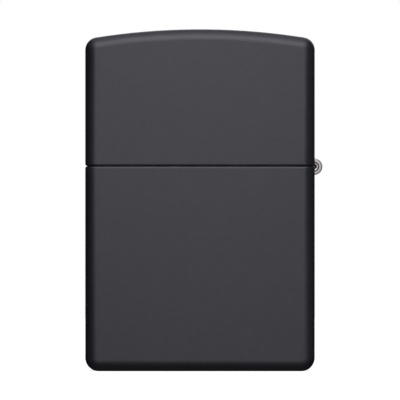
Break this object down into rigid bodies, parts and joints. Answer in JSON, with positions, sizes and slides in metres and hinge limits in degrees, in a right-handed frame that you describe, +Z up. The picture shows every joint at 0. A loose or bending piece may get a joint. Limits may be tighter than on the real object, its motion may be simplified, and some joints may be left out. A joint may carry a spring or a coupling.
{
  "type": "flip-top lighter",
  "caption": "Pocket lighter with a hinged flip-top lid over a windproof chimney, flint wheel, cam lever and wick.",
  "frame": {"origin": "middle of the case's flat underside, on the plane that it stands on", "axes": "+Z up through the lid, +X towards the hinge, -Y out of the broad face that is seen in the front view"},
  "size_m": [0.0388, 0.0126, 0.056],
  "materials": {
    "black_paint": "matte",
    "hinge_steel": "satin",
    "pin_steel": "satin",
    "insert_steel": "brushed",
    "plate_steel": "satin",
    "brass": "satin",
    "wick_cotton": "woven",
    "wheel_steel": "knurled",
    "rivet_steel": "polished",
    "cam_steel": "satin",
    "spring_steel": "satin",
    "flint_grey": "rough",
    "felt": "felted",
    "packing": "fluffy"
  },
  "bodies": {
    "case": {"case_shell": "black_paint", "hinge_leaf_case": "hinge_steel", "hinge_pin": "pin_steel", "insert_shell": "insert_steel", "top_plate": "plate_steel", "wick_eyelet": "brass", "wick": "wick_cotton", "flint_tube": "brass", "packing_1": "packing", "packing_2": "packing", "packing_3": "packing", "packing_4": "packing", "packing_5": "packing", "felt_pad": "felt", "wheel_axle": "rivet_steel", "cam_rivet": "rivet_steel", "cam_spring": "spring_steel", "spring_rivet": "rivet_steel"},
    "lid": {"lid_shell": "black_paint", "hinge_leaf_lid": "hinge_steel"},
    "wheel": {"flint_wheel": "wheel_steel"},
    "cam": {"cam_lever": "cam_steel"},
    "flint_group": {"flint": "flint_grey", "flint_pusher": "brass"},
    "screw_carriage": {"flint_spring": "spring_steel"},
    "screw": {"flint_screw": "brass"}
  },
  "joints": [
    {"name": "lid_hinge", "type": "hinge", "parent": "case", "child": "lid", "pos_m": [0.0187, 0, 0.0335], "axis": [0, 1, 0], "range_deg": [0, 148], "deforming": ["cam_spring"]},
    {"name": "wheel_spin", "type": "hinge", "parent": "case", "child": "wheel", "pos_m": [-0.0123, 0, 0.0417], "axis": [0, 1, 0], "continuous": true},
    {"name": "cam_pivot", "type": "hinge", "parent": "case", "child": "cam", "pos_m": [0.0126, 0, 0.0384], "axis": [0, 1, 0], "range_deg": [-90, 0]},
    {"name": "flint_feed", "type": "slide", "parent": "case", "child": "flint_group", "axis": [0, 0, 1], "range_m": [-0.0012, 0], "stiffness_N_per_m": 300, "springref_m": 0.008, "deforming": ["flint_spring"]},
    {"name": "screw_advance", "type": "slide", "parent": "case", "child": "screw_carriage", "axis": [0, 0, 1], "range_m": [-0.0008, 0]},
    {"name": "screw_turn", "type": "hinge", "parent": "screw_carriage", "child": "screw", "pos_m": [-0.0123, 0, 0.005], "axis": [0, 0, 1], "range_deg": [0, 576]}
  ],
  "couplings": [
    {"joint": "cam_pivot", "follows": "lid_hinge", "ratio": -0.6},
    {"joint": "screw_turn", "follows": "screw_advance", "rad_per_m": -12566}
  ]
}
